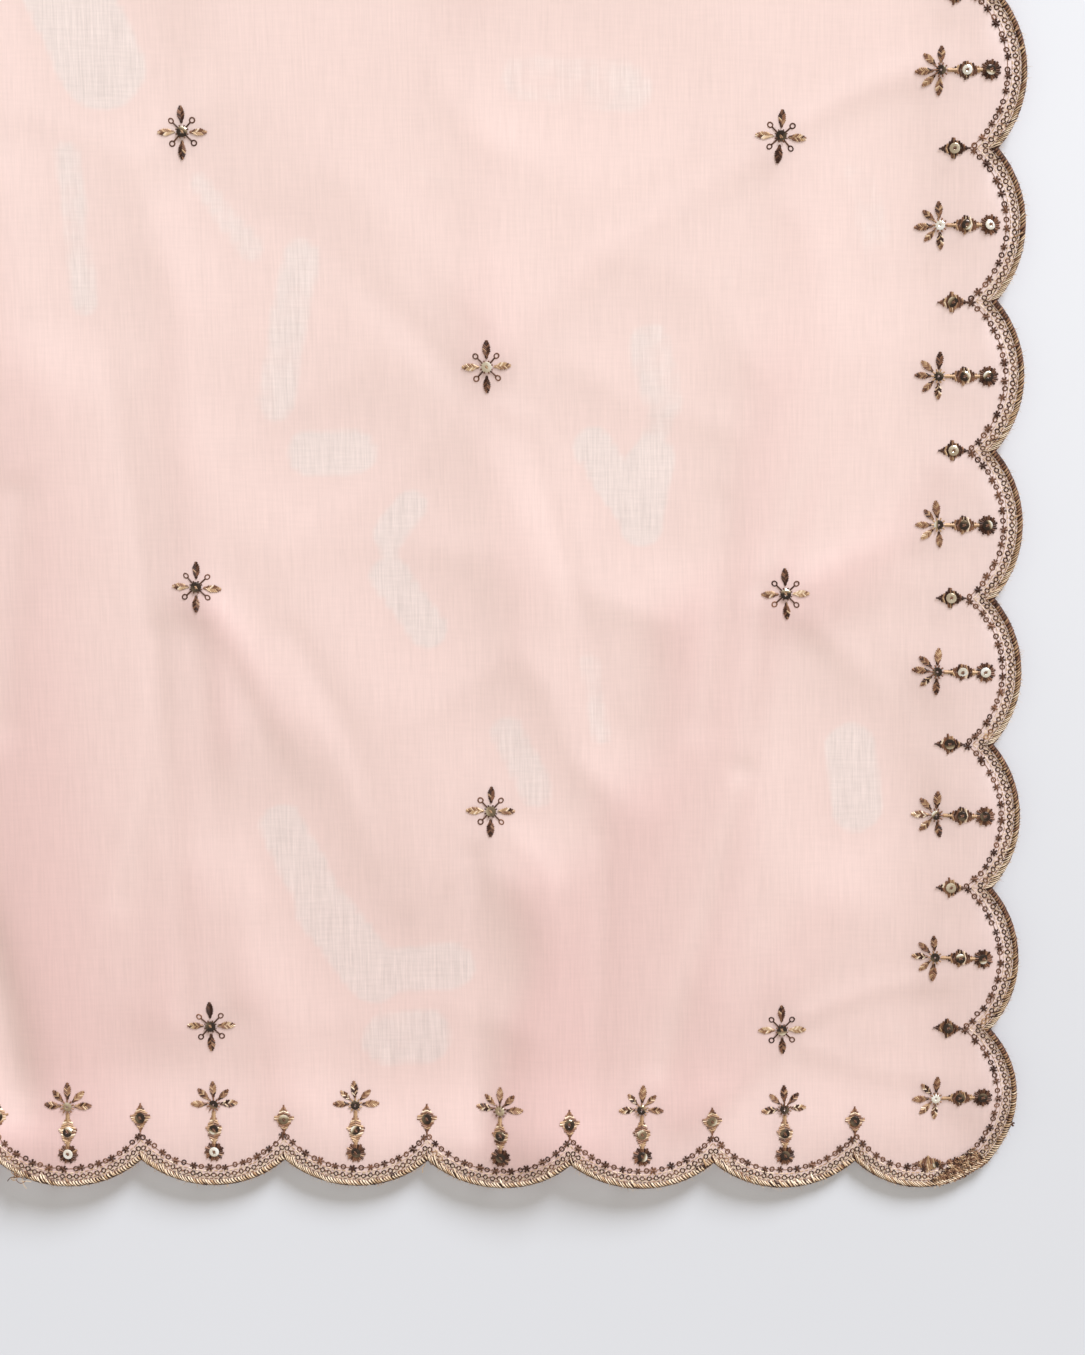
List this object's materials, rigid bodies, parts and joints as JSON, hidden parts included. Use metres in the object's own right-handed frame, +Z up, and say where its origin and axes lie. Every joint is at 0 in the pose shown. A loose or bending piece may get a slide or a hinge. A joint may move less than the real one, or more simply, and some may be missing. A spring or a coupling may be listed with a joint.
{
  "type": "dupatta stole",
  "caption": "Rectangular sheer organza stole laid flat in soft folds, with a scalloped satin-stitched edging on all sides.",
  "frame": {"origin": "bottom centre of the bounding box, on the surface the cloth lies on", "axes": "+Z up from the surface, right side of the cloth up; +Y along the length and the warp; +X along the width"},
  "size_m": [0.9942, 2.4468, 0.0128],
  "materials": {
    "organza": "sheer plain-woven organza with a soft sheen",
    "satin_thread": "satin-stitched brown and antique gold thread"
  },
  "bodies": {
    "root": {"panel": "organza", "edging_foot": "satin_thread", "edging_right": "satin_thread", "edging_head": "satin_thread", "edging_left": "satin_thread"}
  },
  "joints": []
}
